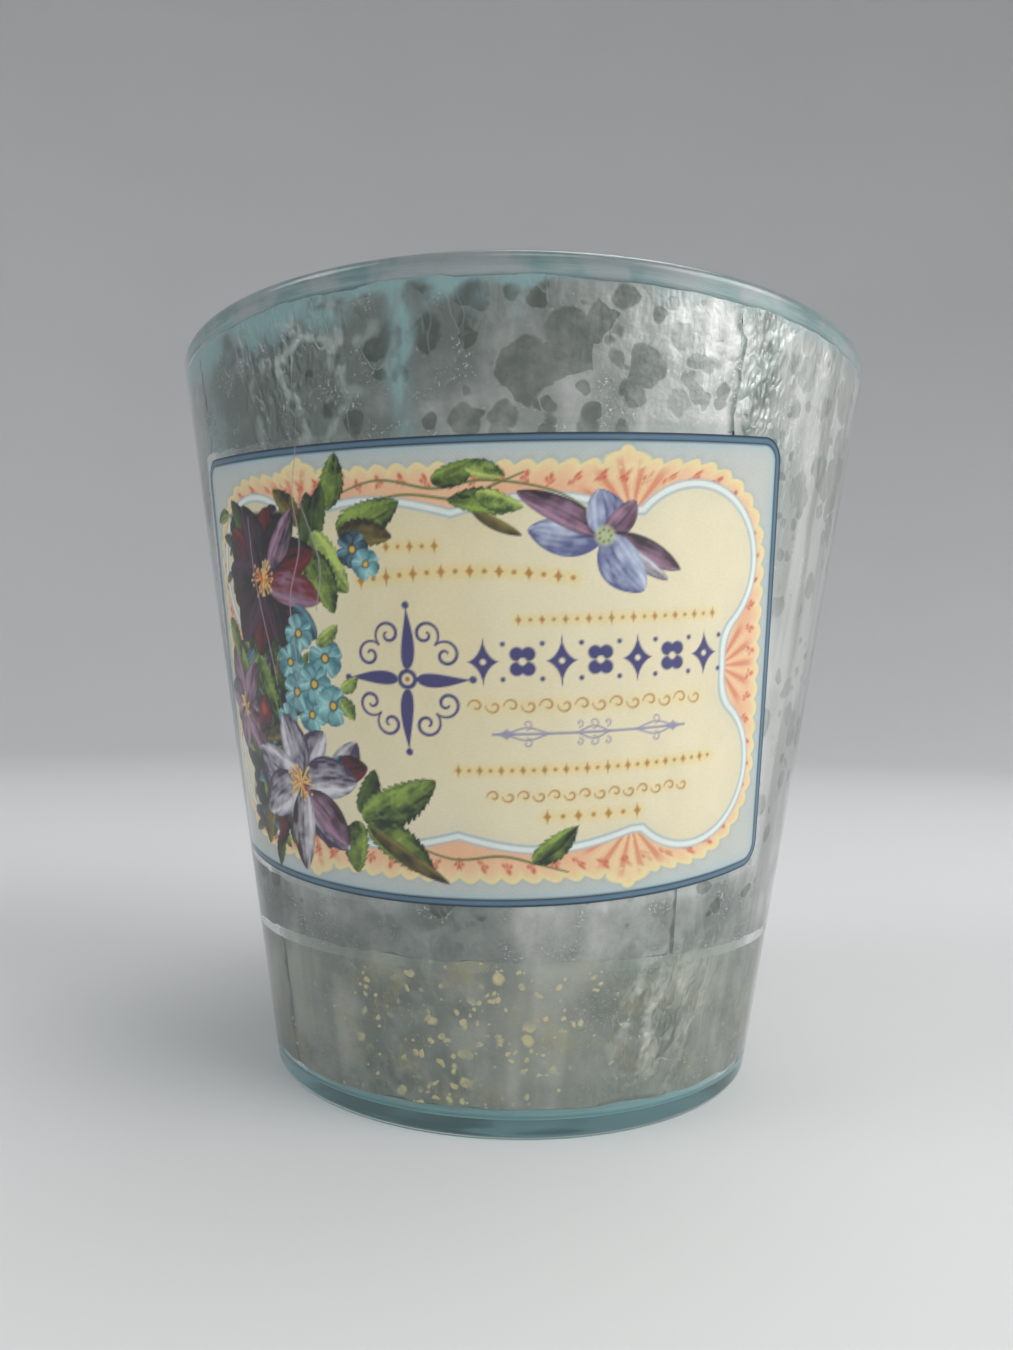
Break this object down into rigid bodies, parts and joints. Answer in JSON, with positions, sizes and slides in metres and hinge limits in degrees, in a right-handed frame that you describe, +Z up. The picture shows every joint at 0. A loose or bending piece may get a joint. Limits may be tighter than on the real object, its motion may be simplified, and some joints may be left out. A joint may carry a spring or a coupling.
{
  "type": "empty candle jar",
  "caption": "Tapered clear glass candle tumbler, empty, with a printed paper label, silver leaf sheets and an aqua paint coat on its inner wall.",
  "frame": {"origin": "centre of the underside of the foot, on the surface the jar stands on", "axes": "+Z up along the jar's axis, -Y the way the label faces, +X to the right as the label is read"},
  "size_m": [0.106, 0.106, 0.105],
  "materials": {
    "clear_glass": "polished, faintly aqua",
    "printed_paper": "printed, satin",
    "silver_leaf": "beaten leaf, crinkled and spotted",
    "tarnished_leaf": "beaten leaf, dulled, with gold flecks",
    "aqua_paint": "brushed, matt"
  },
  "bodies": {
    "root": {"glass_tumbler": "clear_glass", "label_sheet": "printed_paper", "leaf_sheet_1": "silver_leaf", "leaf_sheet_2": "silver_leaf", "leaf_sheet_3": "silver_leaf", "leaf_sheet_4": "silver_leaf", "leaf_strip_1": "tarnished_leaf", "leaf_strip_2": "tarnished_leaf", "leaf_strip_3": "tarnished_leaf", "backing_paint": "aqua_paint"}
  },
  "joints": []
}
